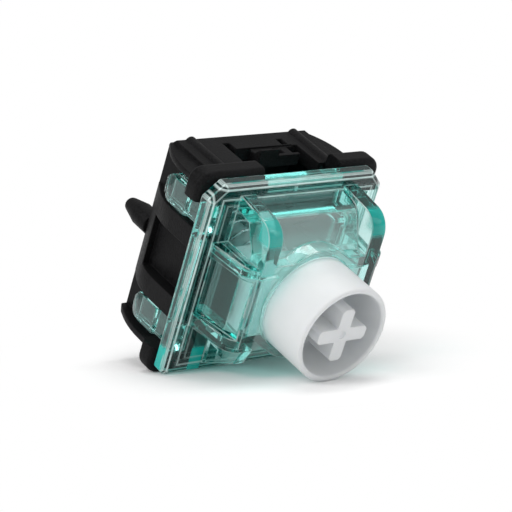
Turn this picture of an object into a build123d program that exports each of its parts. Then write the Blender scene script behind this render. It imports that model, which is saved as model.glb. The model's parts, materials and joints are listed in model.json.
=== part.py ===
"""A cross-stem keyboard switch with a clear cover: millimetres, +Z along the stem.

The origin is where the switch's axis meets the circuit board, so the flat
underside of the bottom housing is at height 0. The light window is on the -Y
side. The switch has no metal contacts: a magnet in the stem's guide pole is
read by a sensor on the circuit board.
"""

import os

from build123d import *

# Fit of the switch in its plate and board
plate_level = 5.0
flange_size = 15.6
body_size = 13.95
post_radius = 2.0
post_chamfer = 0.35
post_depth = 3.3
peg_offset = 5.08
peg_radius = 0.85
peg_straight = 1.5
peg_depth = 3.1
peg_taper = 14
peg_round = 0.38

# Clearances
slide_gap = 0.08
seat_gap = 0.05
inner_gap = 0.15
leg_gap = 0.05
magnet_gap = 0.02

# Movement of the stem
travel = 4.0

# Bottom housing
floor_thickness = 0.9
foot_slope = 0.6
end_wall = 1.0
frame_half_width = 3.5
frame_draft = 0.95
frame_straight = 3.7
fin_face = 6.7
fin_thickness = 0.45
pocket_half_width = 1.95
pocket_sill = 1.7
pocket_depth = 0.95
pocket_lintel = 0.3
leg_recess = 1.35
side_wall = 0.75
black_flange_thickness = 1.5
flange_gap_left = 2.45
flange_gap_right = 4.1
flange_wrap = 2.1
flange_corner_radius = 1.0
flange_edge_radius = 0.4
guide_height = 9.85
guide_half_width = 1.7
guide_face = 5.1
guide_tube_radius = 1.8
guide_tube_height = 3.0
bump_x = 4.45
bump_radius = 0.45
bump_sink = 0.2
clip_left = -2.3
clip_right = 3.5
clip_slot = 0.6
clip_foot = 1.45
clip_root = 2.3
clip_window_left = 2.35
clip_window_width = 0.5
clip_window_height = 0.75
tongue_left = -0.5
tongue_right = 3.1
tongue_recess = 0.12
clip_reach = 0.38
clip_catch = 3.45
clip_ramp = 2.85
catch_lip = 0.15
wedge_width = 1.7
bar_depth = 0.3
bar_left = 1.35
ridge_left = 1.95
ridge_width = 0.65
notch_depth = 0.6
notch_step = 0.1
lamp_half_width = 2.2
partition_y = -3.3
partition_thickness = 0.7
partition_height = 5.2
nub_reach = 0.55
nub_width = 1.3
nub_height = 1.0
nub_level = 2.9

# Top housing
clear_flange_size = 15.0
clear_flange_thickness = 1.15
lamp_side_inset = 0.2
back_chamfer = 1.15
front_chamfer = 0.4
rim_slope = 0.35
rim_edge = 0.15
groove_inset = 0.6
groove_width = 0.4
groove_depth = 0.35
gate_x = -0.5
gate_radius = 0.18
gate_height = 0.08
tower_height = 11.5
collar_wall = 0.5
back_arm_half = 5.05
back_arm_base = 6.65
back_arm_lean = 0.44
back_arm_round = 1.55
side_arm_half = 3.2
side_arm_base = 6.4
side_arm_lean = 0.62
side_arm_round = 1.15
valley_half = 3.85
valley_base = 6.4
valley_knee_y = 6.05
valley_knee_z = 9.55
valley_round = 1.35
shelf_edge = 3.4
shelf_drop = 0.88
window_half = 2.23
window_base = 6.1
window_head = 5.28
shell_wall = 0.85
rib_wall = 0.85
block_half = 4.56
block_edge = -4.46
block_drop = 0.5
gusset_step = 0.25
gusset_wall = 0.65
gusset_foot = -6.55
lamp_wall_y = -2.9
lamp_window_half = 2.2
slider_room_half = 2.23
leg_inner_y = 3.65
leg_tip = 2.0
leg_tip_radius = 0.8
leg_step = 4.7
leg_step_depth = 0.25

# Stem
ring_radius = 3.62
ring_wall = 0.42
rim_chamfer = 0.12
stem_top = 15.45
cap_depth = 3.9
cross_drop = 0.1
cross_span_x = 4.1
cross_span_y = 4.0
cross_arm = 1.05
cross_corner = 0.22
dimple_radius = 0.28
slider_half_x = 4.13
slider_half_y = 2.13
slider_bottom = 6.8
crown_height = 0.35
rail_half_width = 1.2
rail_reach = 0.4
rail_bottom = 5.2
rail_head = 9.2
pole_radius = 1.4
pole_tip = 1.7
pole_point = 0.2
spring_room_radius = 2.35
spring_room_top = 9.4

# Return spring
wire_radius = 0.11
coil_radius = 2.05
coil_turns = 9
wire_facets = 6

# Magnet in the foot of the guide pole
magnet_radius = 1.0
magnet_length = 3.0
magnet_edge = 0.12

# Places that follow from the sizes above
half_flange = flange_size / 2
half_cover = clear_flange_size / 2
half_body = body_size / 2
black_top = plate_level + black_flange_thickness
clear_top = black_top + clear_flange_thickness
inner_y = half_body - end_wall
inset_x = half_body - leg_recess
cavity_x = inset_x - side_wall
frame_foot = half_body - frame_draft
ceiling = tower_height - shell_wall
slider_top = ceiling - seat_gap
bore_radius = ring_radius + slide_gap
collar_radius = bore_radius + collar_wall
shelf_level = tower_height - shelf_drop
lamp_edge = half_cover - lamp_side_inset
cap_floor = stem_top - cap_depth
rail_x = slider_half_x + rail_reach
leg_front_x = half_body - leg_gap
leg_back_x = inset_x + slide_gap
back_room_x = back_arm_half - rib_wall
nub_x = inset_x + nub_reach
leg_outer_y = half_flange - flange_wrap - slide_gap
leg_middle_y = (leg_inner_y + leg_outer_y) / 2
slider_room_x = guide_face + slide_gap
slider_room_top = guide_height + inner_gap

os.makedirs("parts", exist_ok=True)


# Bottom housing
with BuildPart() as bottom_housing:
    # Flange corners that sit on the plate
    with BuildSketch(Plane.XY.offset(plate_level)):
        RectangleRounded(flange_size, flange_size, flange_corner_radius)
        with Locations(((flange_gap_right - flange_gap_left) / 2, 0)):
            Rectangle(
                flange_gap_left + flange_gap_right, flange_size + 1, mode=Mode.SUBTRACT
            )
        Rectangle(flange_size + 1, flange_size - 2 * flange_wrap, mode=Mode.SUBTRACT)
    extrude(amount=black_flange_thickness)
    flange_ends = bottom_housing.faces().filter_by(Axis.Y)
    flange_rims = flange_ends.group_by(Axis.Y)[0] + flange_ends.group_by(Axis.Y)[-1]
    fillet(flange_rims.edges().filter_by(Axis.X), flange_edge_radius)

    # Tub, set in from the sides where the clear legs lie
    with BuildSketch(Plane.XY):
        Rectangle(2 * inset_x, body_size)
    extrude(amount=black_top)

    # Framed side faces and corner fins, drawn in towards the board by a long curve
    for inner_edge, width, foot_level in (
        (-frame_half_width, 2 * frame_half_width, foot_slope),
        (fin_face - fin_thickness, fin_thickness, foot_slope),
        (-fin_face, fin_thickness, 0),
    ):
        with BuildSketch(Plane.XZ.offset(-inner_edge - width)):
            with BuildLine():
                Line((half_body, black_top), (half_body, frame_straight))
                TangentArc(
                    (half_body, frame_straight), (frame_foot, foot_level), tangent=(0, -1)
                )
                Polyline(
                    (frame_foot, foot_level),
                    (inset_x, 0),
                    (-inset_x, 0),
                    (-frame_foot, foot_level),
                )
                TangentArc(
                    (-half_body, frame_straight), (-frame_foot, foot_level), tangent=(0, -1)
                )
                Line((-half_body, frame_straight), (-half_body, black_top))
                Line((-half_body, black_top), (half_body, black_top))
            make_face()
        extrude(amount=width)

    # Sloped feet of the end walls, which lead the switch into its plate
    for side in (1, -1):
        with BuildSketch(Plane.YZ.offset(-half_body)):
            with BuildLine():
                Polyline(
                    (side * half_body, 0),
                    (side * half_body, foot_slope),
                    (side * (half_body - foot_slope), 0),
                    close=True,
                )
            make_face()
        extrude(amount=2 * half_body, mode=Mode.SUBTRACT)

    # Cavity for the slider
    with BuildSketch(Plane.XY.offset(floor_thickness)):
        Rectangle(2 * cavity_x, 2 * inner_y)
    extrude(amount=black_top, mode=Mode.SUBTRACT)

    # Guide walls at the slider's ends, grooved for its rails
    guide_back = slider_half_x + slide_gap
    with BuildSketch(Plane.XY.offset(floor_thickness)):
        with Locations(
            ((guide_face + guide_back) / 2, 0), (-(guide_face + guide_back) / 2, 0)
        ):
            Rectangle(guide_face - guide_back, 2 * guide_half_width)
        Rectangle(
            2 * (rail_x + slide_gap),
            2 * (rail_half_width + slide_gap),
            mode=Mode.SUBTRACT,
        )
    extrude(amount=guide_height - floor_thickness)

    # Pockets in the side frames
    with BuildSketch(Plane.XY.offset(pocket_sill)):
        with Locations((half_body, 0), (-half_body, 0)):
            Rectangle(2 * pocket_depth, 2 * pocket_half_width)
    extrude(amount=black_top - pocket_lintel - pocket_sill, mode=Mode.SUBTRACT)

    # Partition of the light bay, and the light window in the floor
    with BuildSketch(Plane.XY):
        with Locations((0, partition_y + partition_thickness / 2)):
            Rectangle(2 * cavity_x, partition_thickness)
    extrude(amount=partition_height)
    with BuildSketch(Plane.XY):
        with Locations((0, (partition_y - inner_y) / 2)):
            Rectangle(2 * lamp_half_width, inner_y + partition_y - 2 * inner_gap)
    extrude(amount=floor_thickness, mode=Mode.SUBTRACT)

    # Guide tube and centre post, bored for the guide pole
    with BuildSketch(Plane.XY):
        Circle(guide_tube_radius)
    extrude(amount=guide_tube_height)
    with BuildSketch(Plane.XY):
        Circle(post_radius)
    extrude(amount=-post_depth)
    chamfer(bottom_housing.faces().sort_by(Axis.Z)[0].edges(), post_chamfer)
    with BuildSketch(Plane.XY.offset(guide_tube_height)):
        Circle(pole_radius + slide_gap)
    extrude(
        amount=-(guide_tube_height + travel - pole_tip + inner_gap),
        mode=Mode.SUBTRACT,
    )

    # Board pegs, tapered to a rounded tip
    with BuildSketch(Plane.XY):
        with Locations((peg_offset, 0), (-peg_offset, 0)):
            Circle(peg_radius)
    extrude(amount=-peg_straight)
    with BuildSketch(Plane.XY.offset(-peg_straight)):
        with Locations((peg_offset, 0), (-peg_offset, 0)):
            Circle(peg_radius)
    extrude(amount=-(peg_depth - peg_straight), taper=peg_taper)
    peg_rims = (
        bottom_housing.faces()
        .filter_by(Axis.Z)
        .filter_by(lambda face: abs(face.center().X) > post_radius)
        .group_by(Axis.Z)[0]
        .edges()
    )
    fillet(peg_rims, peg_round)

    # Half-round ribs that centre the body in the plate
    with BuildSketch(Plane.XY.offset(foot_slope)):
        with GridLocations(2 * bump_x, body_size - 2 * bump_sink, 2, 2):
            Circle(bump_radius)
    extrude(amount=plate_level - foot_slope)

    # Plate clips: a tongue freed by slots and a mouth, with two catches for the plate
    for side in (1, -1):
        outer_face = Plane.XZ.offset(-side * half_body)
        with BuildSketch(outer_face):
            with BuildLine():
                Polyline(
                    (clip_left, clip_foot),
                    (clip_left + clip_slot, clip_foot),
                    (clip_left + clip_slot, clip_root),
                    (tongue_left, clip_root),
                    (tongue_left, clip_catch),
                    (tongue_right, clip_catch),
                    (tongue_right, clip_root + notch_step),
                    (clip_right, clip_root + notch_step),
                    (clip_right, plate_level),
                    (flange_gap_right, plate_level),
                    (flange_gap_right, black_top),
                    (clip_left, black_top),
                    close=True,
                )
            make_face()
            with Locations((clip_window_left, clip_foot)):
                Rectangle(
                    clip_window_width,
                    clip_window_height,
                    align=(Align.MIN, Align.MIN),
                )
        extrude(amount=side * end_wall, mode=Mode.SUBTRACT)

        # Face of the tongue, a little below the wall
        with BuildSketch(outer_face):
            with Locations((tongue_left, clip_root)):
                Rectangle(
                    tongue_right - tongue_left,
                    clip_catch - clip_root,
                    align=(Align.MIN, Align.MIN),
                )
        extrude(amount=side * tongue_recess, mode=Mode.SUBTRACT)

        # Ramped wedge that catches the plate
        with BuildSketch(Plane.YZ.offset(tongue_left)):
            with BuildLine():
                Polyline(
                    (side * (half_body - end_wall), clip_ramp),
                    (side * (half_body - tongue_recess), clip_ramp),
                    (side * (half_body + clip_reach), clip_catch - catch_lip),
                    (side * (half_body + clip_reach), clip_catch),
                    (side * (half_body - end_wall), clip_catch),
                    close=True,
                )
            make_face()
        extrude(amount=wedge_width)

        # Two notches beside the wedge, with a ridge between them and a bar at their end
        with BuildSketch(outer_face):
            with Locations((bar_left, clip_root + notch_step)):
                Rectangle(
                    ridge_left - bar_left,
                    clip_catch - bar_depth - clip_root - notch_step,
                    align=(Align.MIN, Align.MIN),
                )
            with Locations((ridge_left + ridge_width, clip_root + notch_step)):
                Rectangle(
                    clip_right - ridge_left - ridge_width,
                    clip_catch - bar_depth - clip_root - notch_step,
                    align=(Align.MIN, Align.MIN),
                )
        extrude(amount=side * notch_depth, mode=Mode.SUBTRACT)

    # Nubs that hold the clear legs
    for side in (1, -1):
        with BuildSketch(Plane.XZ.offset(-leg_middle_y - nub_width / 2)):
            with BuildLine():
                Polyline(
                    (side * inset_x, nub_level),
                    (side * nub_x, nub_level),
                    (side * inset_x, nub_level + nub_height + nub_reach / 2),
                    close=True,
                )
            make_face()
        extrude(amount=nub_width)
        with BuildSketch(Plane.XZ.offset(leg_middle_y - nub_width / 2)):
            with BuildLine():
                Polyline(
                    (side * inset_x, nub_level),
                    (side * nub_x, nub_level),
                    (side * inset_x, nub_level + nub_height + nub_reach / 2),
                    close=True,
                )
            make_face()
        extrude(amount=nub_width)

bottom_housing.part.label = "bottom_housing"
export_step(bottom_housing.part, "parts/bottom_housing.step")


# Top housing
with BuildPart() as top_housing:
    # Flange with its corners cut off
    with BuildSketch(Plane.XY.offset(black_top)):
        with BuildLine():
            Polyline(
                (-half_cover, half_cover - back_chamfer),
                (-half_cover + back_chamfer, half_cover),
                (half_cover - back_chamfer, half_cover),
                (half_cover, half_cover - back_chamfer),
                (half_cover, -lamp_edge + front_chamfer),
                (half_cover - front_chamfer, -lamp_edge),
                (-half_cover + front_chamfer, -lamp_edge),
                (-half_cover, -lamp_edge + front_chamfer),
                close=True,
            )
        make_face()
    extrude(amount=clear_flange_thickness)
    chamfer(top_housing.faces().sort_by(Axis.Z)[-1].edges(), rim_slope)
    chamfer(top_housing.faces().sort_by(Axis.Z)[0].edges(), rim_edge)

    # Tower arm towards the back
    with BuildSketch(Plane.YZ.offset(-back_arm_half)) as back_arm:
        with BuildLine():
            Polyline(
                (lamp_wall_y, black_top),
                (back_arm_base, black_top),
                (back_arm_base, clear_top),
                (back_arm_base - back_arm_lean, tower_height),
                (lamp_wall_y, tower_height),
                close=True,
            )
        make_face()
        shoulder_vertex = back_arm.vertices().group_by(Axis.Y)[-1].sort_by(Axis.X)[-1]
        fillet(shoulder_vertex, back_arm_round)
    extrude(amount=2 * back_arm_half)

    # Tower arm over the ends of the slider
    with BuildSketch(Plane.XZ.offset(-side_arm_half)) as side_arm:
        with BuildLine():
            Polyline(
                (-side_arm_base, black_top),
                (-side_arm_base, clear_top),
                (-side_arm_base + side_arm_lean, tower_height),
                (side_arm_base - side_arm_lean, tower_height),
                (side_arm_base, clear_top),
                (side_arm_base, black_top),
                close=True,
            )
        make_face()
        fillet(side_arm.vertices().group_by(Axis.Y)[-1], side_arm_round)
    extrude(amount=2 * side_arm_half)

    # Valley between the two ribs of the back arm
    with BuildSketch(Plane.YZ.offset(-valley_half)) as valley:
        with BuildLine():
            Polyline(
                (half_flange, clear_top),
                (valley_base, clear_top),
                (valley_knee_y, valley_knee_z),
                (shelf_edge, shelf_level),
                (shelf_edge, tower_height + 1),
                (half_flange, tower_height + 1),
                close=True,
            )
        make_face()
        knee = valley.vertices().sort_by_distance((valley_knee_y, valley_knee_z, 0))[0]
        fillet(knee, valley_round)
    extrude(amount=2 * valley_half, mode=Mode.SUBTRACT)

    # Windows set in between the ribs at the ends of the slider
    for side in (1, -1):
        with BuildSketch(Plane.XZ.offset(-window_half)):
            with BuildLine():
                Polyline(
                    (side * window_base, clear_top),
                    (side * window_head, tower_height + 0.01),
                    (side * half_flange, tower_height + 0.01),
                    (side * half_flange, clear_top),
                    close=True,
                )
            make_face()
        extrude(amount=2 * window_half, mode=Mode.SUBTRACT)

    # Side blocks and gussets beside the light recess
    for side in (1, -1):
        outer = Plane.YZ.offset(side * block_half)
        with BuildSketch(outer):
            with BuildLine():
                Polyline(
                    (lamp_wall_y, black_top),
                    (lamp_wall_y, tower_height),
                    (block_edge, tower_height - block_drop),
                    (block_edge, black_top),
                    close=True,
                )
            make_face()
        extrude(amount=-side * (gusset_wall + gusset_step))
        with BuildSketch(Plane.YZ.offset(side * (block_half - gusset_step))):
            with BuildLine():
                Polyline(
                    (block_edge, black_top),
                    (block_edge, tower_height - block_drop),
                    (gusset_foot, clear_top),
                    (gusset_foot, black_top),
                    close=True,
                )
            make_face()
        extrude(amount=-side * gusset_wall)

    # Collar round the stem
    with BuildSketch(Plane.XY.offset(black_top)):
        Circle(collar_radius)
    extrude(amount=tower_height - black_top)

    # Room for the slider
    with BuildSketch(Plane.XZ.offset(-slider_room_half)):
        with BuildLine():
            Polyline(
                (slider_room_x, black_top),
                (slider_room_x, slider_room_top),
                (slider_half_x + inner_gap, ceiling),
                (-slider_half_x - inner_gap, ceiling),
                (-slider_room_x, slider_room_top),
                (-slider_room_x, black_top),
                close=True,
            )
        make_face()
    extrude(amount=2 * slider_room_half, mode=Mode.SUBTRACT)

    # Room under the back shelf
    with BuildSketch(Plane.YZ.offset(-back_room_x)):
        with BuildLine():
            Polyline(
                (0, black_top),
                (valley_base - shell_wall, black_top),
                (valley_knee_y - shell_wall, valley_knee_z - shell_wall),
                (shelf_edge, shelf_level - shell_wall),
                (0, shelf_level - shell_wall),
                close=True,
            )
        make_face()
    extrude(amount=2 * back_room_x, mode=Mode.SUBTRACT)

    # Bore for the stem, and the light window in the flange
    with BuildSketch(Plane.XY.offset(black_top)):
        Circle(bore_radius)
    extrude(amount=tower_height, mode=Mode.SUBTRACT)
    with BuildSketch(Plane.XY.offset(black_top)):
        with Locations((0, (gusset_foot - collar_radius) / 2)):
            Rectangle(2 * lamp_window_half, -gusset_foot - collar_radius - 2 * inner_gap)
    extrude(amount=clear_flange_thickness, mode=Mode.SUBTRACT)

    # Snap legs with rounded tips, their outer faces following the side frames
    for side in (1, -1):
        with BuildSketch(Plane.YZ.offset(side * leg_back_x)) as legs:
            with Locations((leg_middle_y, (leg_tip + black_top) / 2)):
                Rectangle(leg_outer_y - leg_inner_y, black_top - leg_tip)
            with Locations((-leg_middle_y, (leg_tip + black_top) / 2)):
                Rectangle(leg_outer_y - leg_inner_y, black_top - leg_tip)
            fillet(legs.vertices().group_by(Axis.Y)[0], leg_tip_radius)
        extrude(amount=side * (leg_front_x - leg_back_x))

        # Blind pocket at the back of each leg that snaps over the nub
        with BuildSketch(Plane.YZ.offset(side * leg_back_x)):
            with Locations(
                (leg_middle_y, nub_level + nub_height / 2 + nub_reach / 4),
                (-leg_middle_y, nub_level + nub_height / 2 + nub_reach / 4),
            ):
                Rectangle(
                    nub_width + 2 * inner_gap,
                    nub_height + nub_reach / 2 + 2 * inner_gap,
                )
        extrude(amount=side * nub_reach, mode=Mode.SUBTRACT)

        # Step across the outer face of the legs
        with BuildSketch(Plane.XZ.offset(-leg_outer_y - inner_gap)):
            with BuildLine():
                Polyline(
                    (side * leg_front_x, leg_step),
                    (side * (leg_front_x - leg_step_depth), leg_step + leg_step_depth),
                    (side * (leg_front_x - leg_step_depth), black_top),
                    (side * half_flange, black_top),
                    (side * half_flange, leg_step),
                    close=True,
                )
            make_face()
        extrude(amount=2 * (leg_outer_y + inner_gap), mode=Mode.SUBTRACT)
        with BuildSketch(Plane.XZ.offset(-leg_outer_y - inner_gap)):
            with BuildLine():
                TangentArc(
                    (side * leg_front_x, frame_straight),
                    (side * frame_foot, 0),
                    tangent=(0, -1),
                )
                Polyline(
                    (side * frame_foot, 0),
                    (side * half_flange, 0),
                    (side * half_flange, frame_straight),
                    (side * leg_front_x, frame_straight),
                )
            make_face()
        extrude(amount=2 * (leg_outer_y + inner_gap), mode=Mode.SUBTRACT)

    # Grooves under the flange that clear the tops of the side frames
    with BuildSketch(Plane.XY.offset(black_top)):
        with Locations(
            (half_cover - groove_inset - groove_width / 2, 0),
            (groove_inset + groove_width / 2 - half_cover, 0),
        ):
            Rectangle(groove_width, 2 * side_arm_half)
    extrude(amount=groove_depth, mode=Mode.SUBTRACT)

    # Mark of the moulding gate on the back of the flange
    with BuildSketch(Plane.XY.offset(clear_top)):
        with Locations((gate_x, back_arm_base + gate_radius)):
            Circle(gate_radius)
    extrude(amount=gate_height)

top_housing.part.label = "top_housing"
export_step(top_housing.part, "parts/top_housing.step")


# Stem
with BuildPart() as stem:
    # Slider with its guide rails
    with BuildSketch(Plane.XY.offset(slider_bottom)):
        Rectangle(2 * slider_half_x, 2 * slider_half_y)
    extrude(amount=slider_top - slider_bottom)
    with BuildSketch(Plane.XY.offset(rail_bottom)):
        with Locations((rail_x - rail_reach, 0), (rail_reach - rail_x, 0)):
            Rectangle(2 * rail_reach, 2 * rail_half_width)
    extrude(amount=rail_head - rail_bottom)

    # Round wall that keeps dust out
    with BuildSketch(Plane.XY.offset(slider_top - crown_height)):
        Circle(ring_radius)
    extrude(amount=stem_top - slider_top + crown_height)
    with BuildSketch(Plane.XY.offset(cap_floor)):
        Circle(ring_radius - ring_wall)
    extrude(amount=cap_depth, mode=Mode.SUBTRACT)
    chamfer(stem.faces().sort_by(Axis.Z)[-1].edges(), rim_chamfer)

    # Cross that the keycap presses onto
    with BuildSketch(Plane.XY.offset(cap_floor)) as cross:
        Rectangle(cross_span_x, cross_arm)
        Rectangle(cross_arm, cross_span_y)
        tips = cross.vertices().filter_by(
            lambda v: max(abs(v.X), abs(v.Y)) > cross_arm
        )
        chamfer(tips, cross_corner)
    extrude(amount=cap_depth - cross_drop)
    with BuildSketch(Plane.XY.offset(stem_top - cross_drop)):
        Circle(dimple_radius)
    extrude(amount=-dimple_radius / 2, mode=Mode.SUBTRACT)

    # Room for the spring, with the guide pole in its middle
    with BuildSketch(Plane.XY.offset(slider_bottom)):
        Circle(spring_room_radius)
    extrude(amount=spring_room_top - slider_bottom, mode=Mode.SUBTRACT)
    with BuildSketch(Plane.XY.offset(pole_tip)):
        Circle(pole_radius)
    extrude(amount=spring_room_top - pole_tip)
    chamfer(stem.faces().sort_by(Axis.Z)[0].edges(), pole_point)

    # Pocket for the magnet
    with BuildSketch(Plane.XY.offset(pole_tip)):
        Circle(magnet_radius + magnet_gap)
    extrude(amount=magnet_length, mode=Mode.SUBTRACT)

stem.part.label = "stem"
export_step(stem.part, "parts/stem.step")


# Magnet, pressed into the pole until it seats
with BuildPart() as magnet:
    with BuildSketch(Plane.XY.offset(pole_tip)):
        Circle(magnet_radius)
    extrude(amount=magnet_length)
    chamfer(magnet.edges().filter_by(GeomType.CIRCLE), magnet_edge)

magnet.part.label = "magnet"
export_step(magnet.part, "parts/magnet.step")


# Return spring between the floor and the stem
spring_foot = floor_thickness + wire_radius
spring_height = spring_room_top - floor_thickness - 2 * wire_radius
with BuildPart() as return_spring:
    with BuildLine(Plane.XY.offset(spring_foot)) as coil:
        Helix(
            pitch=spring_height / coil_turns, height=spring_height, radius=coil_radius
        )
    with BuildSketch(Plane(coil.line @ 0, z_dir=coil.line % 0)):
        RegularPolygon(wire_radius, wire_facets)
    sweep(is_frenet=True)

return_spring.part.label = "return_spring"
export_step(return_spring.part, "parts/return_spring.step")
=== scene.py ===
"""Finish of a cross-stem key switch: clear cover, grained base, white stem, spring, magnet and stage."""

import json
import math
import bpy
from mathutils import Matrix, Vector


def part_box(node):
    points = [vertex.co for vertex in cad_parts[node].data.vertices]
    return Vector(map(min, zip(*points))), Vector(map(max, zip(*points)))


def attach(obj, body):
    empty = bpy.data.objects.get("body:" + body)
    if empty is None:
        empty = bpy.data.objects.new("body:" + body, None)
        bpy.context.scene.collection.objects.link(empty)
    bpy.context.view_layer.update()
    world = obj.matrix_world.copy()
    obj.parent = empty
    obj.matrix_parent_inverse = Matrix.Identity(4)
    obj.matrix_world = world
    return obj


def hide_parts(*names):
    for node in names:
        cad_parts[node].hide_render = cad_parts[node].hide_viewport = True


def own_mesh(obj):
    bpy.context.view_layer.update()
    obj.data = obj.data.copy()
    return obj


bl_info = {
    "name": "Clear Cover Key Switch",
    "version": (1, 0, 0),
    "blender": (4, 5, 0),
    "location": "View3D > Sidebar > Key Switch",
    "description": "Dresses the pieces of a cross-stem key switch and sets its stage",
    "category": "Add Mesh",
}

import bmesh
import bpy
from bpy.props import FloatProperty, FloatVectorProperty, IntProperty, PointerProperty
from mathutils import Matrix, Vector
from mathutils.bvhtree import BVHTree

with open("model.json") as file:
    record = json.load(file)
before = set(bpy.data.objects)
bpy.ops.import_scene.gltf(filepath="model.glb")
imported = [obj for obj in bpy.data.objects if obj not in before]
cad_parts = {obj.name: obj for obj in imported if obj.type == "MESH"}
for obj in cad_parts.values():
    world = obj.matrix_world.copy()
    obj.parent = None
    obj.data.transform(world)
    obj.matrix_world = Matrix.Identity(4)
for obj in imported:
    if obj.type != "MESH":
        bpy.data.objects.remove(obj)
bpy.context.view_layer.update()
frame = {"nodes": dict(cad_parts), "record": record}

MM = 0.001
BODY_OF = {
    node: body
    for body, nodes in frame["record"]["behaviour"]["bodies"].items()
    for node in nodes
}
SLOT_COLOURS = {
    material["slot"]: tuple(material["base_color"][:3])
    for material in frame["record"]["materials"]
}


# Node arithmetic

class Signal:
    """An output socket that can be used in plain arithmetic."""

    def __init__(self, graph, socket):
        self.graph = graph
        self.socket = socket

    def of(self, output):
        """Another output of the same node."""
        return Signal(self.graph, self.socket.node.outputs[output])

    def above(self, start, fade):
        """0 up to start and 1 from start + fade on, with a smooth step between."""
        return self.graph.node(
            "ShaderNodeMapRange",
            {"interpolation_type": "SMOOTHSTEP"},
            {"Value": self, "From Min": start, "From Max": start + fade},
        )

    def below(self, start, fade):
        """1 up to start - fade and 0 from start on, with a smooth step between."""
        return self.above(start, -fade)

    def up_to(self, end, fade):
        """1 up to end and 0 from end + fade on, with a smooth step between."""
        return self.below(end + fade, fade)

    def swing(self, span):
        """A noise as a change to both sides of zero, with the whole span from end to end."""
        return span * (self - 0.5)

    def maths(self, operation, first, second):
        return self.graph.node("ShaderNodeMath", {"operation": operation}, {0: first, 1: second})

    def __add__(self, other):
        return self.maths("ADD", self, other)

    def __sub__(self, other):
        return self.maths("SUBTRACT", self, other)

    def __rsub__(self, other):
        return self.maths("SUBTRACT", other, self)

    def __mul__(self, other):
        return self.maths("MULTIPLY", self, other)

    def __or__(self, other):
        return self.maths("MAXIMUM", self, other)

    def __and__(self, other):
        return self.maths("MINIMUM", self, other)

    def __abs__(self):
        return self.maths("MAXIMUM", self, self * -1)

    __radd__ = __add__
    __rmul__ = __mul__


class Graph:
    """A node tree and the one way in which nodes are added to it."""

    # Nearly all of a noise lies between these
    NOISE_LOW = 0.3
    NOISE_HIGH = 0.7

    def __init__(self, tree):
        self.tree = tree

    def node(self, kind, settings=None, sockets=None):
        """Add a node and give its first output, or the node itself where it has none."""
        made = self.tree.nodes.new(kind)
        for name, value in (settings or {}).items():
            if name == "stops":
                self.set_stops(made.color_ramp, value)
            else:
                setattr(made, name, value)
        for key, value in (sockets or {}).items():
            if isinstance(value, Signal):
                self.tree.links.new(value.socket, made.inputs[key])
            else:
                made.inputs[key].default_value = value
        return Signal(self, made.outputs[0]) if made.outputs else made

    @staticmethod
    def set_stops(ramp, stops):
        while len(ramp.elements) < len(stops):
            ramp.elements.new(1)
        for element, (place, colour) in zip(ramp.elements, stops):
            element.position = place
            element.color = (*colour, 1)

    def place(self):
        """Where a point of the piece is."""
        return self.node("ShaderNodeTexCoord").of("Object")

    def noise(self, place, width, detail):
        """Noise with lumps about as wide as given."""
        return self.node(
            "ShaderNodeTexNoise", {}, {"Vector": place, "Scale": 1 / width, "Detail": detail}
        )

    def bump(self, height, strength, relief):
        """Normals of a surface that a height between 0 and 1 raises by up to the relief."""
        return self.node(
            "ShaderNodeBump", {}, {"Strength": strength, "Distance": relief, "Height": height}
        )

    def shaded(self, colour, mark, low, high):
        """A colour, times low where a noise is weak and times high where it is strong."""
        stops = [
            (level, [share * part for part in colour])
            for level, share in ((self.NOISE_LOW, low), (self.NOISE_HIGH, high))
        ]
        return self.node("ShaderNodeValToRGB", {"stops": stops}, {"Fac": mark})

    def mixed(self, share, under, over):
        """A shader, with another one over it by its share."""
        return self.node("ShaderNodeMixShader", {}, {0: share, 1: under, 2: over})


# Materials

CLEAR_IOR = 1.58

# Levels of a noise at which a streak of painted reflection or a patch of painted glow starts
STREAK_LEVEL = 0.53
PATCH_LEVEL = 0.4


def new_material(name):
    """An empty node material and its graph."""
    material = bpy.data.materials.new(name)
    material.use_nodes = True
    material.node_tree.nodes.clear()
    return material, Graph(material.node_tree)


def moulded_plastic(name, look):
    """Satin moulded plastic: fine spark-eroded grain over slow changes of shade."""
    material, graph = new_material(name)
    place = graph.place()
    fine = graph.noise(place, width=look.grain, detail=3.0)
    slow = graph.noise(place, width=look.clouding * look.grain, detail=4.0)
    mark = look.grain_share * fine + (1 - look.grain_share) * slow
    surface = graph.node(
        "ShaderNodeBsdfPrincipled",
        {},
        {
            "Base Color": graph.shaded(look.colour, mark, low=0.05, high=2.6),
            "Roughness": look.roughness + fine.swing(0.5) + slow.swing(0.1),
            "IOR": 1.5,
            "Specular IOR Level": look.gloss,
            "Normal": graph.bump(fine, strength=0.6, relief=look.relief),
        },
    )
    graph.node("ShaderNodeOutputMaterial", {}, {"Surface": surface})
    return material


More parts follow.
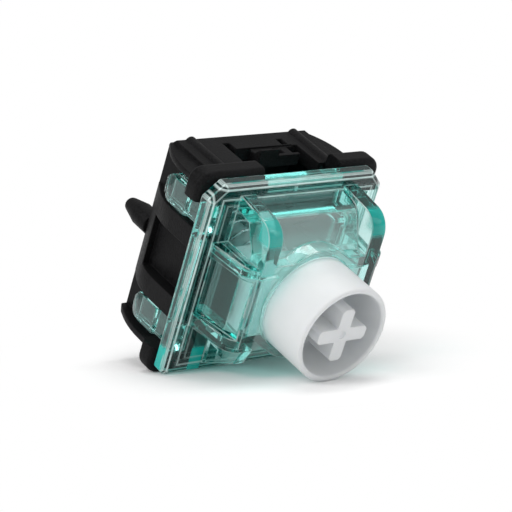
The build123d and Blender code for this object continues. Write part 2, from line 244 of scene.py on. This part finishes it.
class CoverMasks:
    """Masks for where painted light goes on the cover, from where a point of it lies."""

    def __init__(self, graph, look):
        place = graph.place()
        axes = graph.node("ShaderNodeSeparateXYZ", {}, {"Vector": place})
        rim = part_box("top_housing")[1]
        self.graph = graph
        self.look = look
        self.across = abs(axes.of("X"))
        self.along = axes.of("Y")
        self.level = axes.of("Z")
        self.inset = (rim.x - self.across) & (rim.y - abs(self.along))
        self.cloud = graph.noise(place, width=look.patch_size, detail=1.0)

    def patches(self):
        """The patches of the rounded edges that take the teal painted glow."""
        return self.cloud.above(PATCH_LEVEL, fade=0.22)

    def streaks(self):
        """Slightly wavy lines along the flange, which take painted reflections."""
        look = self.look
        width = look.streak_width
        waver = 0.04 * width * self.cloud
        lines = self.graph.node(
            "ShaderNodeTexNoise",
            {"noise_dimensions": "1D"},
            {"W": self.inset + waver, "Scale": 1 / width, "Detail": 2.0},
        )
        return (
            lines.above(STREAK_LEVEL, fade=0.06)
            * self.inset.above(0, fade=0.5 * width)
            * self.inset.below(look.flange_width, fade=0.1 * look.flange_width)
            * self.level.up_to(look.flange_top, fade=0.3 * MM)
        )

    def window_end(self):
        """The blocks and the rim's corners beside the light window, which take painted glow."""
        look = self.look
        blocks = (
            self.across.above(look.block_inner, fade=0.1 * MM)
            * self.across.up_to(look.block_outer, fade=0.1 * MM)
            * self.level.above(look.block_foot, fade=0.1 * MM)
        )
        corners = (
            self.inset.below(look.streak_width, fade=0.5 * look.streak_width)
            * self.level.above(look.leg_top, fade=0.1 * MM)
        )
        return self.along.below(look.end_start, fade=0.5 * MM) * (blocks | corners)

    def between_arms(self):
        """What lies between the two high arms."""
        return self.across.below(self.look.panel_half, fade=0.2 * MM)

    def arm_tips(self):
        """The rounded tips of those arms, which take painted glow."""
        look = self.look
        return (
            (1 - self.between_arms())
            * self.along.above(look.tip_start, fade=0.5 * MM)
            * self.level.above(look.tip_foot, fade=0.6 * MM)
        )

    def panel(self):
        """The panel between them, which takes pale painted light."""
        return self.between_arms() * self.level.above(self.look.panel_foot, fade=0.6 * MM)

    def over_legs(self):
        """All of the cover over its legs; the legs' own edges take less painted glow."""
        return self.level.above(self.look.leg_top - 0.2 * MM, fade=0.2 * MM)


def painted_light_layers(graph, look, painted_edge_glow):
    """The colours of the painted light on the cover, each with its share: a teal painted glow, and pale
    painted light with painted reflections.
    """
    masks = CoverMasks(graph, look)
    patches = masks.patches()
    # Painted glow on the rounded edges, with less of it on the legs' edges.
    edges = painted_edge_glow * (look.painted_leg_glow + (1 - look.painted_leg_glow) * masks.over_legs())
    # Teal painted glow: on patches of the edges, a little on every face, beside the light window and on
    # the arm tips.
    deep = (
        edges * patches
        + look.painted_face_glow
        + look.painted_end_glow * masks.window_end()
        + look.painted_tip_glow * masks.arm_tips()
    )
    # Pale painted light: on the edges between those patches, as painted reflections in streaks along the
    # flange, and on the panel between the arms.
    pale = (
        edges * (1 - patches)
        + look.painted_streak_share * masks.streaks()
        + look.painted_panel_share * masks.panel()
    )
    return (look.painted_glow_colour, deep), (look.painted_pale_colour, pale)


def clear_plastic(name, look, painted_edge_glow):
    """Clear tinted plastic, coloured by its depth, with painted glow and painted reflections over it."""
    material, graph = new_material(name)
    flow = graph.noise(graph.place(), width=look.wave_length, detail=2.0)
    waves = graph.bump(flow, strength=0.2, relief=look.ripple)
    solid = graph.node(
        "ShaderNodeBsdfPrincipled",
        {},
        {
            "Base Color": (*look.skin_colour, 1),
            "Roughness": look.haze * (1 + flow.swing(0.8)),
            "IOR": CLEAR_IOR,
            "Transmission Weight": 1.0,
            "Normal": waves,
        },
    )
    # Painted light: each of its colours is a coat of plastic mixed over the clear plastic by its share.
    for colour, share in painted_light_layers(graph, look, painted_edge_glow):
        painted_light_coat = graph.node(
            "ShaderNodeBsdfPrincipled",
            {},
            {
                "Base Color": (*colour, 1),
                "Roughness": 0.12,
                "IOR": CLEAR_IOR,
                "Specular IOR Level": 0.3,
                "Normal": waves,
            },
        )
        solid = graph.mixed(share, solid, painted_light_coat)
    opening = graph.node("ShaderNodeBsdfTransparent", {}, {"Color": (*look.shadow_colour, 1)})
    rays = graph.node("ShaderNodeLightPath")
    passing = rays.of("Is Shadow Ray") | rays.of("Is Diffuse Ray")
    depth = graph.node(
        "ShaderNodeVolumeAbsorption",
        {},
        {"Color": (*look.depth_colour, 1), "Density": look.depth_density},
    )
    graph.node(
        "ShaderNodeOutputMaterial",
        {},
        {"Surface": graph.mixed(passing, solid, opening), "Volume": depth},
    )
    return material


def soft_white_plastic(name, colour):
    """White slippery plastic that lets a little light into its skin."""
    material, graph = new_material(name)
    place = graph.place()
    fine = graph.noise(place, width=0.111 * MM, detail=2.0)
    slow = graph.noise(place, width=3.33 * MM, detail=3.0)
    surface = graph.node(
        "ShaderNodeBsdfPrincipled",
        {},
        {
            "Base Color": graph.shaded(colour, slow, low=0.97, high=1.03),
            "Roughness": 0.43 + slow.swing(0.1),
            "IOR": 1.48,
            "Subsurface Weight": 0.45,
            "Subsurface Radius": (1.0, 1.0, 1.1),
            "Subsurface Scale": 0.5 * MM,
            "Normal": graph.bump(fine, strength=0.25, relief=0.004 * MM),
        },
    )
    graph.node("ShaderNodeOutputMaterial", {}, {"Surface": surface})
    return material


def drawn_metal(name, colour, roughness, marks_per_metre):
    """Bright metal with fine marks, whose number is given along X, Y and Z."""
    material, graph = new_material(name)
    stretched = graph.node(
        "ShaderNodeMapping", {}, {"Vector": graph.place(), "Scale": marks_per_metre}
    )
    marks = graph.noise(stretched, width=1.0, detail=3.0)
    surface = graph.node(
        "ShaderNodeBsdfPrincipled",
        {},
        {
            "Base Color": graph.shaded(colour, marks, low=0.9, high=1.08),
            "Metallic": 1.0,
            "Roughness": roughness + marks.swing(0.15),
            "Normal": graph.bump(marks, strength=0.2, relief=0.003 * MM),
        },
    )
    graph.node("ShaderNodeOutputMaterial", {}, {"Surface": surface})
    return material


# Meshes

WELD_DISTANCE = 0.001 * MM

# An edge that leaves another at less than this runs on beside it, not across its faces
SIDEWAYS = math.radians(20)

# A corner farther off the CAD surface than this share of the edge radius is a stray one
STRAY_SHARE = 0.8

# From 1 to 100, and over 50 the large faces count for more in the normals of their corners
LARGE_FACE_WEIGHT = 80


def room_beside(edge):
    """Shortest way from an edge to the next one across its faces, at its two ends."""
    ways = []
    for vertex in edge.verts:
        along = edge.other_vert(vertex).co - vertex.co
        for near in vertex.link_edges:
            away = near.other_vert(vertex).co - vertex.co
            turn = along.angle(away)
            if near is not edge and SIDEWAYS < turn < math.pi - SIDEWAYS:
                ways.append(away.length * math.sin(turn))
    return min(ways, default=0)


def welded_mesh(node, name, edges):
    """A CAD node's triangles joined into one skin, its flat faces whole, its edges weighted."""
    skin = bmesh.new()
    skin.from_mesh(frame["nodes"][node].data)
    bmesh.ops.remove_doubles(skin, verts=skin.verts, dist=WELD_DISTANCE)
    bmesh.ops.dissolve_limit(
        skin, angle_limit=edges.flat_angle, verts=skin.verts, edges=skin.edges
    )
    weight = skin.edges.layers.float.new("bevel_weight_edge")
    for edge in skin.edges:
        if edge.calc_face_angle(0) > edges.sharp_angle:
            edge[weight] = min(1, edges.share * room_beside(edge) / edges.radius)
    mesh = bpy.data.meshes.new(name)
    skin.to_mesh(mesh)
    skin.free()
    return mesh


def linked(name, data):
    """A new object in the scene."""
    made = bpy.data.objects.new(name, data)
    bpy.context.scene.collection.objects.link(made)
    return made


def finished_object(name, mesh, *materials):
    """An object of a mesh, smooth shaded, with its materials."""
    for material in materials:
        mesh.materials.append(material)
    mesh.shade_smooth()
    return linked(name, mesh)


def settle(thing):
    """Work an object's modifiers into a plain mesh."""
    graph = bpy.context.evaluated_depsgraph_get()
    graph.update()
    mesh = bpy.data.meshes.new_from_object(thing.evaluated_get(graph), depsgraph=graph)
    mesh.name = thing.name
    thing.modifiers.clear()
    thing.data = mesh


def hold_close(thing, node, limit):
    """Bring corners that a rounding threw off the CAD node's surface back to it."""
    source = frame["nodes"][node].data
    skin = BVHTree.FromPolygons(
        [point.co[:] for point in source.vertices],
        [face.vertices[:] for face in source.polygons],
    )
    for point in thing.data.vertices:
        nearest, _, _, distance = skin.find_nearest(point.co)
        if distance > limit:
            point.co = nearest


def softened(node, name, edges, *materials):
    """A copy of a CAD node with rounded edges, which take the last of its materials."""
    thing = finished_object(name, welded_mesh(node, name, edges), *materials)
    bevel = thing.modifiers.new("Edge rounding", "BEVEL")
    bevel.width = edges.radius
    bevel.segments = edges.steps
    bevel.limit_method = "WEIGHT"
    bevel.material = len(materials) - 1
    bevel.use_clamp_overlap = False
    weighted = thing.modifiers.new("Flat faces stay flat", "WEIGHTED_NORMAL")
    weighted.weight = LARGE_FACE_WEIGHT
    settle(thing)
    hold_close(thing, node, STRAY_SHARE * edges.radius)
    return thing


def dress(thing, node):
    """Put a finished piece in place of its CAD node: on that node's body, with the node hidden."""
    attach(thing, BODY_OF[node])
    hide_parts(node)


# Settings

class EdgeSettings(bpy.types.PropertyGroup):
    """How the edges of the pieces are rounded"""

    radius: FloatProperty(
        name="Edge radius",
        description="Radius of a moulded edge",
        default=0.06 * MM,
        min=0,
        unit="LENGTH",
        precision=6,
    )
    steps: IntProperty(
        name="Edge steps",
        description="Faces across each rounded edge",
        default=2,
        min=1,
        max=4,
    )
    sharp_angle: FloatProperty(
        name="Sharp angle",
        description="Edges that turn more than this are rounded",
        default=math.radians(30),
        subtype="ANGLE",
    )
    flat_angle: FloatProperty(
        name="Flat angle",
        description="Faces that turn less than this are one face",
        default=math.radians(0.5),
        subtype="ANGLE",
    )
    share: FloatProperty(
        name="Share of a narrow face",
        description="How much of a narrow face each of its two edges may take",
        default=0.4,
        min=0,
        max=0.5,
    )


class BaseSettings(bpy.types.PropertyGroup):
    """Look of the black base"""

    colour: FloatVectorProperty(
        name="Colour",
        description="Colour of the black plastic",
        default=[0.2 * part for part in SLOT_COLOURS["black_nylon"]],
        subtype="COLOR",
    )
    roughness: FloatProperty(
        name="Roughness",
        description="Roughness of the grained mould",
        default=0.5,
    )
    gloss: FloatProperty(
        name="Gloss",
        description="Strength of the reflections, 0.5 for a bare plastic skin",
        default=0.09,
    )
    grain: FloatProperty(
        name="Grain",
        description="Width of a grain of the mould's texture",
        default=0.13 * MM,
        unit="LENGTH",
        precision=6,
    )
    grain_share: FloatProperty(
        name="Grain share",
        description="Share of the grain in the changes of colour, the rest being slow clouds",
        default=0.65,
    )
    clouding: FloatProperty(
        name="Clouding",
        description="Width of those clouds, in grains",
        default=25.0,
    )
    relief: FloatProperty(
        name="Relief",
        description="Height of the grain",
        default=0.04 * MM,
        unit="LENGTH",
        precision=6,
    )


class CoverSettings(bpy.types.PropertyGroup):
    """Look of the clear cover, with its painted glow and painted reflections"""

    skin_colour: FloatVectorProperty(
        name="Skin colour",
        description="Tint of each surface that light passes",
        default=(0.96, 0.995, 0.99),
        subtype="COLOR",
    )
    depth_colour: FloatVectorProperty(
        name="Depth colour",
        description="Colour of light that has gone through much of the plastic",
        default=(0.0, 0.87, 0.82),
        subtype="COLOR",
    )
    shadow_colour: FloatVectorProperty(
        name="Shadow colour",
        description="Tint that each surface gives to the shadow",
        default=(0.9, 0.972, 0.962),
        subtype="COLOR",
    )
    # Painted light: the teal painted glow, its shares and the places where it goes
    painted_glow_colour: FloatVectorProperty(
        name="Glow colour",
        description="Colour of the light that leaves the plastic at its edges",
        default=(0.005, 0.62, 0.54),
        subtype="COLOR",
    )
    painted_face_glow: FloatProperty(
        name="Face glow",
        description="Share of that light on every face",
        default=0.03,
    )
    painted_edge_glow: FloatProperty(
        name="Edge glow",
        description="Further share on patches of the rounded edges",
        default=0.4,
    )
    painted_leg_glow: FloatProperty(
        name="Leg glow",
        description="What the edges of the legs have of the other edges' share",
        default=0.3,
    )
    painted_end_glow: FloatProperty(
        name="End glow",
        description="Further share on the blocks and corners beside the light window",
        default=0.8,
    )
    end_start: FloatProperty(
        name="End start",
        description="Where that end starts",
        default=-4.9 * MM,
        unit="LENGTH",
        precision=6,
    )
    block_inner: FloatProperty(
        name="Block inner side",
        description="Distance of the blocks' inner sides from the middle",
        default=4.35 * MM,
        unit="LENGTH",
        precision=6,
    )
    block_outer: FloatProperty(
        name="Block outer side",
        description="Distance of the blocks' outer sides from the middle",
        default=5.4 * MM,
        unit="LENGTH",
        precision=6,
    )
    block_foot: FloatProperty(
        name="Block foot",
        description="Level at which the blocks start",
        default=7.15 * MM,
        unit="LENGTH",
        precision=6,
    )
    leg_top: FloatProperty(
        name="Leg top",
        description="Level at which the legs leave the flange",
        default=6.5 * MM,
        unit="LENGTH",
        precision=6,
    )
    painted_tip_glow: FloatProperty(
        name="Tip glow",
        description="Further share on the rounded tips of the two high arms",
        default=0.55,
    )
    tip_start: FloatProperty(
        name="Tip start",
        description="Where the tips start along the arms",
        default=4.6 * MM,
        unit="LENGTH",
        precision=6,
    )
    tip_foot: FloatProperty(
        name="Tip foot",
        description="Level at which the tips start",
        default=9.9 * MM,
        unit="LENGTH",
        precision=6,
    )
    # Painted light: pale painted light, with painted reflections in streaks along the flange
    painted_pale_colour: FloatVectorProperty(
        name="Pale colour",
        description="Colour of the light that thin walls and steps scatter",
        default=(0.78, 0.95, 0.92),
        subtype="COLOR",
    )
    painted_streak_share: FloatProperty(
        name="Streak share",
        description="Share of pale light in the streaks along the flange",
        default=0.65,
    )
    streak_width: FloatProperty(
        name="Streak width",
        description="Width of a streak",
        default=0.24 * MM,
        unit="LENGTH",
        precision=6,
    )
    flange_width: FloatProperty(
        name="Flange width",
        description="How far the streaks reach from the flange's rim",
        default=1.7 * MM,
        unit="LENGTH",
        precision=6,
    )
    flange_top: FloatProperty(
        name="Flange top",
        description="Level of the flange's upper face",
        default=7.65 * MM,
        unit="LENGTH",
        precision=6,
    )
    # Pale painted light on the panel between the arms
    painted_panel_share: FloatProperty(
        name="Panel share",
        description="Share of pale light on the panel between the arms, whose mould is matt",
        default=0.25,
    )
    panel_half: FloatProperty(
        name="Panel half width",
        description="Half the width of the matt panel",
        default=4.0 * MM,
        unit="LENGTH",
        precision=6,
    )
    panel_foot: FloatProperty(
        name="Panel foot",
        description="Level at which the matt panel starts",
        default=9.0 * MM,
        unit="LENGTH",
        precision=6,
    )
    # Size of the patches of painted glow on the edges
    patch_size: FloatProperty(
        name="Patch size",
        description="Size of the patches in which the light leaves",
        default=1.2 * MM,
        unit="LENGTH",
        precision=6,
    )
    depth_density: FloatProperty(
        name="Depth density",
        description="How fast the plastic takes up light, per metre",
        default=240.0,
    )
    haze: FloatProperty(
        name="Haze",
        description="Roughness of the polished mould",
        default=0.02,
    )
    wave_length: FloatProperty(
        name="Wave length",
        description="Length of the slow waves in the moulded faces",
        default=2.38 * MM,
        unit="LENGTH",
        precision=6,
    )
    ripple: FloatProperty(
        name="Ripple",
        description="Height of those waves",
        default=0.01 * MM,
        unit="LENGTH",
        precision=6,
    )


class SpringSettings(bpy.types.PropertyGroup):
    """Sizes of the wound spring, inside the box of its CAD node"""

    wire_radius: FloatProperty(
        name="Wire radius",
        description="Radius of the spring wire",
        default=0.11 * MM,
        unit="LENGTH",
        precision=6,
    )
    turns: FloatProperty(
        name="Turns",
        description="Turns from end to end",
        default=12.0,
    )
    closed_turns: FloatProperty(
        name="Closed turns",
        description="Turns that lie flat at each end",
        default=1.1,
    )
    points_per_turn: IntProperty(
        name="Points per turn",
        description="Points of the wire's line on each turn",
        default=40,
    )
    sides: IntProperty(
        name="Wire sides",
        description="Faces round the wire",
        default=12,
    )


class StageSettings(bpy.types.PropertyGroup):
    """Camera, floor and lamps"""

    camera_place: FloatVectorProperty(
        name="Camera place",
        description="Where the camera stands",
        default=(-95.690 * MM, 70.529 * MM, 104.584 * MM),
        subtype="XYZ",
        unit="LENGTH",
    )
    camera_aim: FloatVectorProperty(
        name="Camera aim",
        description="Point in the middle of the picture",
        default=(2.154 * MM, -1.466 * MM, 3.118 * MM),
        subtype="XYZ",
        unit="LENGTH",
    )
    camera_up: FloatVectorProperty(
        name="Camera up",
        description="Direction that is up in the picture",
        default=(0.0955, 0.853, -0.5131),
        subtype="DIRECTION",
    )
    lens: FloatProperty(
        name="Lens",
        description="Focal length on a 36 mm sensor, in millimetres",
        default=158.63,
    )
    floor_point: FloatVectorProperty(
        name="Floor point",
        description="Point of the stem's rim that the switch leans on",
        default=(0, -3.622 * MM, 15.335 * MM),
        subtype="XYZ",
        unit="LENGTH",
    )
    floor_up: FloatVectorProperty(
        name="Floor up",
        description="Direction away from the floor, on which the switch lies on its side",
        default=(0, 0.909, -0.4168),
        subtype="DIRECTION",
    )
    floor_reach: FloatProperty(
        name="Floor reach",
        description="Distance from the middle of the floor to its edges",
        default=400 * MM,
        unit="LENGTH",
    )
    floor_colour: FloatVectorProperty(
        name="Floor colour",
        description="Colour of the floor where it lights the switch",
        default=(0.9, 0.9, 0.9),
        subtype="COLOR",
    )
    floor_seen_colour: FloatVectorProperty(
        name="Floor colour in the picture",
        description="Colour of the floor where the camera sees it",
        default=(1.2, 1.2, 1.2),
        subtype="COLOR",
        max=2,
    )
    shadow_reach: FloatProperty(
        name="Shadow reach",
        description="Distance from the switch at which the floor starts to turn plain white",
        default=11.5 * MM,
        unit="LENGTH",
    )
    shadow_fade: FloatProperty(
        name="Shadow fade",
        description="Way over which the floor turns plain white, as a share of the shadow's reach",
        default=0.7,
    )
    sky: FloatProperty(
        name="Sky",
        description="Strength of the light from all around",
        default=0.48,
    )
    lamp_distance: FloatProperty(
        name="Lamp distance",
        description="Distance from the switch to each lamp",
        default=320 * MM,
        unit="LENGTH",
    )
    key_power: FloatProperty(
        name="Key lamp",
        description="Power of the lamp at the front left, in watts",
        default=0.32,
    )
    top_power: FloatProperty(
        name="Top lamp",
        description="Power of the lamp above, in watts",
        default=0.3,
    )
    side_power: FloatProperty(
        name="Side lamp",
        description="Power of the lamp at the right, in watts",
        default=0.08,
    )


# Pieces

class SWITCH_OT_base(bpy.types.Operator):
    """Make the black base with its moulded grain"""

    bl_idname = "switch.base"
    bl_label = "Black base"

    def execute(self, context):
        nylon = moulded_plastic("grained_black_nylon", context.scene.switch_base)
        base = softened("bottom_housing", "base", context.scene.switch_edges, nylon)
        dress(base, "bottom_housing")
        return {"FINISHED"}


class SWITCH_OT_cover(bpy.types.Operator):
    """Make the clear cover with polished, rounded edges, and painted glow and painted reflections on it
    """

    bl_idname = "switch.cover"
    bl_label = "Clear cover"

    def execute(self, context):
        look = context.scene.switch_cover
        faces = clear_plastic("clear_tinted_plastic", look, painted_edge_glow=0)
        # The rounded edges take a material of their own with painted glow; both materials carry painted
        # light.
        edges = clear_plastic("clear_tinted_edges", look, painted_edge_glow=look.painted_edge_glow)
        cover = softened("top_housing", "cover", context.scene.switch_edges, faces, edges)
        dress(cover, "top_housing")
        return {"FINISHED"}


class SWITCH_OT_stem(bpy.types.Operator):
    """Make the white stem"""

    bl_idname = "switch.stem"
    bl_label = "White stem"

    def execute(self, context):
        acetal = soft_white_plastic("white_acetal", SLOT_COLOURS["white_acetal"])
        stem = softened("stem", "plunger_stem", context.scene.switch_edges, acetal)
        dress(stem, "stem")
        return {"FINISHED"}


# A closed turn rises by this times the wire's radius, so that it just clears the next one
CLOSED_RISE = 2.02


def height_gained(turned, start, end, rise, course):
    """Height that the wire has gained between two counts of turns."""
    return turned.graph.node(
        "ShaderNodeMapRange",
        {"interpolation_type": course},
        {"Value": turned, "From Min": start, "From Max": end, "To Min": 0.0, "To Max": rise},
    )


def spring_tree(material):
    """Geometry nodes that wind a wire into a compression spring."""
    tree = bpy.data.node_groups.new("Compression spring", "GeometryNodeTree")
    for kind, names in (
        ("Float", ("Foot", "Rise", "Coil radius", "Wire radius", "Turns", "Closed turns")),
        ("Int", ("Points per turn", "Sides")),
    ):
        for name in names:
            tree.interface.new_socket(name, in_out="INPUT", socket_type="NodeSocket" + kind)
    tree.interface.new_socket(
        "Geometry", in_out="OUTPUT", socket_type="NodeSocketGeometry"
    )
    graph = Graph(tree)
    given = graph.node("NodeGroupInput")
    turns = given.of("Turns")
    closed = given.of("Closed turns")
    line = graph.node(
        "GeometryNodeCurveSpiral",
        {},
        {
            "Resolution": given.of("Points per turn"),
            "Rotations": turns,
            "Start Radius": given.of("Coil radius"),
            "End Radius": given.of("Coil radius"),
            "Height": 0.0,
        },
    )
    turned = graph.node("GeometryNodeSplineParameter").of("Factor") * turns
    flat_rise = CLOSED_RISE * given.of("Wire radius") * closed
    open_rise = given.of("Rise") - 2 * flat_rise
    height = (
        given.of("Foot")
        + height_gained(turned, 0.0, closed, flat_rise, "LINEAR")
        + height_gained(turned, closed, turns - closed, open_rise, "SMOOTHSTEP")
        + height_gained(turned, turns - closed, turns, flat_rise, "LINEAR")
    )
    lift = graph.node("ShaderNodeCombineXYZ", {}, {"Z": height})
    wound = graph.node("GeometryNodeSetPosition", {}, {"Geometry": line, "Offset": lift})
    section = graph.node(
        "GeometryNodeCurvePrimitiveCircle",
        {"mode": "RADIUS"},
        {"Resolution": given.of("Sides"), "Radius": given.of("Wire radius")},
    )
    wire = graph.node(
        "GeometryNodeCurveToMesh",
        {},
        {"Curve": wound, "Profile Curve": section, "Fill Caps": True},
    )
    real = graph.node("GeometryNodeRealizeInstances", {}, {"Geometry": wire})
    finish = graph.node(
        "GeometryNodeSetMaterial", {}, {"Geometry": real, "Material": material}
    )
    graph.node("NodeGroupOutput", {}, {"Geometry": finish})
    return tree


def set_inputs(modifier, values):
    """Set the inputs of a modifier's node tree, each by its socket's identifier."""
    for socket in modifier.node_group.interface.items_tree:
        if socket.in_out == "INPUT":
            modifier[socket.identifier] = values[socket.name]


class SWITCH_OT_spring(bpy.types.Operator):
    """Wind the return spring, with closed turns at its ends"""

    bl_idname = "switch.spring"
    bl_label = "Return spring"

    def execute(self, context):
        sizes = context.scene.switch_spring
        low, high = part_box("return_spring")
        steel = drawn_metal(
            "spring_wire",
            SLOT_COLOURS["spring_steel"],
            roughness=0.28,
            marks_per_metre=(3000, 3000, 3000),
        )
        spring = finished_object(
            "wound_spring", bpy.data.meshes.new("wound_spring"), steel
        )
        winding = spring.modifiers.new("Wound wire", "NODES")
        winding.node_group = spring_tree(steel)
        set_inputs(
            winding,
            {
                "Foot": low.z + sizes.wire_radius,
                "Rise": high.z - low.z - 2 * sizes.wire_radius,
                "Coil radius": (high.x - low.x) / 2 - sizes.wire_radius,
                "Wire radius": sizes.wire_radius,
                "Turns": sizes.turns,
                "Closed turns": sizes.closed_turns,
                "Points per turn": sizes.points_per_turn,
                "Sides": sizes.sides,
            },
        )
        settle(spring)
        spring.data.shade_smooth()
        dress(spring, "return_spring")
        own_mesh(spring)
        return {"FINISHED"}


class SWITCH_OT_magnet(bpy.types.Operator):
    """Make the plated magnet in the foot of the stem's guide pole"""

    bl_idname = "switch.magnet"
    bl_label = "Magnet"

    def execute(self, context):
        nickel = drawn_metal(
            "nickel_plating",
            SLOT_COLOURS["plated_magnet"],
            roughness=0.22,
            marks_per_metre=(3000, 3000, 900),
        )
        magnet = softened("magnet", "plated_magnet", context.scene.switch_edges, nickel)
        dress(magnet, "magnet")
        return {"FINISHED"}


# Stage

SENSOR_WIDTH_MM = 36

# What counts as up when a lamp is turned to the switch
LAMP_UP = Vector((0.01, 0.9, 0.4))

# Places of the colours among the sockets of a Mix node
MIX_FIRST = 6
MIX_SECOND = 7
MIX_RESULT = 2


def axes_towards(back, up):
    """Rotation whose +Z is back and whose +Y is as near to up as can be."""
    back = back.normalized()
    right = up.cross(back).normalized()
    above = back.cross(right)
    return Matrix((right, above, back)).transposed().to_4x4()


def floor_material(stage):
    """White floor that keeps the shadow near the switch, and is seen from above only."""
    material, graph = new_material("white_floor")
    rays = graph.node("ShaderNodeLightPath")
    seen = rays.of("Is Camera Ray") | rays.of("Is Glossy Ray") | rays.of("Is Transmission Ray")
    tint = graph.node(
        "ShaderNodeMix",
        {"data_type": "RGBA"},
        {
            "Factor": rays.of("Is Camera Ray"),
            MIX_FIRST: (*stage.floor_colour, 1),
            MIX_SECOND: (*stage.floor_seen_colour, 1),
        },
    ).of(MIX_RESULT)
    matt = graph.node("ShaderNodeBsdfDiffuse", {}, {"Color": tint})
    white = graph.node("ShaderNodeEmission", {}, {"Color": (1, 1, 1, 1), "Strength": 1.0})
    gone = graph.node("ShaderNodeBsdfTransparent", {}, {"Color": (1, 1, 1, 1)})
    away = graph.node(
        "ShaderNodeVectorMath",
        {"operation": "DISTANCE"},
        {0: graph.place(), 1: stage.camera_aim},
    ).of("Value")
    fade = away.above(stage.shadow_reach, fade=stage.shadow_fade * stage.shadow_reach)
    sheet = graph.mixed(fade * seen, matt, white)
    below = graph.node("ShaderNodeNewGeometry").of("Backfacing")
    graph.node("ShaderNodeOutputMaterial", {}, {"Surface": graph.mixed(below, sheet, gone)})
    return material


def add_floor(stage, right, towards):
    """The white sheet on which the switch lies."""
    middle = Vector(stage.floor_point)
    corners = [
        middle + stage.floor_reach * (across * right - along * towards)
        for across, along in ((-1, -1), (1, -1), (1, 1), (-1, 1))
    ]
    sheet = bpy.data.meshes.new("floor")
    sheet.from_pydata(corners, [], [range(len(corners))])
    finished_object("floor", sheet, floor_material(stage))


def add_camera(stage, back):
    """The camera, where back is the direction from the switch to it."""
    lens = bpy.data.cameras.new("Camera")
    lens.lens = stage.lens
    lens.sensor_width = SENSOR_WIDTH_MM
    lens.clip_start = 10 * MM
    camera = linked("Camera", lens)
    turn = axes_towards(back, Vector(stage.camera_up))
    camera.matrix_world = Matrix.Translation(stage.camera_place) @ turn
    bpy.context.scene.camera = camera


def add_softbox(name, aim, direction, distance, size, power):
    """A rectangular lamp that faces the switch."""
    lamp = bpy.data.lights.new(name, "AREA")
    lamp.shape = "RECTANGLE"
    lamp.size, lamp.size_y = size
    lamp.energy = power
    turn = axes_towards(direction, LAMP_UP)
    place = aim + distance * direction.normalized()
    linked(name, lamp).matrix_world = Matrix.Translation(place) @ turn


def add_white_world(strength):
    """A white studio: plain white where it is seen, softer where it lights."""
    world = bpy.data.worlds.new("White studio")
    bpy.context.scene.world = world
    world.use_nodes = True
    world.node_tree.nodes.clear()
    graph = Graph(world.node_tree)
    rays = graph.node("ShaderNodeLightPath")
    seen = rays.of("Is Camera Ray") | rays.of("Is Transmission Ray")
    sky = graph.node(
        "ShaderNodeBackground",
        {},
        {"Color": (1, 1, 1, 1), "Strength": strength + (1 - strength) * seen},
    )
    graph.node("ShaderNodeOutputWorld", {}, {"Surface": sky})


class SWITCH_OT_stage(bpy.types.Operator):
    """Set the camera, the floor and the lamps"""

    bl_idname = "switch.stage"
    bl_label = "Stage"

    def execute(self, context):
        stage = context.scene.switch_stage
        aim = Vector(stage.camera_aim)
        back = (Vector(stage.camera_place) - aim).normalized()
        up = Vector(stage.floor_up).normalized()
        towards = (back - back.dot(up) * up).normalized()
        right = up.cross(towards)
        add_camera(stage, back)
        add_floor(stage, right, towards)
        add_white_world(stage.sky)
        for name, (rightwards, upwards, forwards), size, power in (
            ("key_lamp", (-0.8, 0.75, 0.6), (70 * MM, 240 * MM), stage.key_power),
            ("top_lamp", (0.1, 1.0, -0.1), (240 * MM, 70 * MM), stage.top_power),
            ("side_lamp", (1.0, 0.45, 0.35), (120 * MM, 250 * MM), stage.side_power),
        ):
            direction = rightwards * right + upwards * up + forwards * towards
            add_softbox(name, aim, direction, stage.lamp_distance, size, power)
        return {"FINISHED"}


class SWITCH_PT_panel(bpy.types.Panel):
    """Steps that dress the switch, and their sizes"""

    bl_label = "Key Switch"
    bl_space_type = "VIEW_3D"
    bl_region_type = "UI"
    bl_category = "Key Switch"

    def draw(self, context):
        layout = self.layout
        for step in STEPS:
            layout.operator(step.bl_idname)
        for name in SETTINGS:
            group = getattr(context.scene, name)
            box = layout.box()
            for key in group.bl_rna.properties.keys():
                if key not in ("name", "rna_type"):
                    box.prop(group, key)


SETTINGS = {
    "switch_edges": EdgeSettings,
    "switch_base": BaseSettings,
    "switch_cover": CoverSettings,
    "switch_spring": SpringSettings,
    "switch_stage": StageSettings,
}
STEPS = (
    SWITCH_OT_base,
    SWITCH_OT_cover,
    SWITCH_OT_stem,
    SWITCH_OT_spring,
    SWITCH_OT_magnet,
    SWITCH_OT_stage,
)


def register():
    for group in SETTINGS.values():
        bpy.utils.register_class(group)
    for step in STEPS:
        bpy.utils.register_class(step)
    bpy.utils.register_class(SWITCH_PT_panel)
    for name, group in SETTINGS.items():
        setattr(bpy.types.Scene, name, PointerProperty(type=group))


def unregister():
    for name in SETTINGS:
        delattr(bpy.types.Scene, name)
    bpy.utils.unregister_class(SWITCH_PT_panel)
    for step in reversed(STEPS):
        bpy.utils.unregister_class(step)
    for group in SETTINGS.values():
        bpy.utils.unregister_class(group)


def main():
    register()
    bpy.context.scene.view_settings.view_transform = "Standard"
    bpy.ops.switch.base()
    bpy.ops.switch.cover()
    bpy.ops.switch.stem()
    bpy.ops.switch.spring()
    bpy.ops.switch.magnet()
    bpy.ops.switch.stage()


if __name__ == "__main__":
    main()
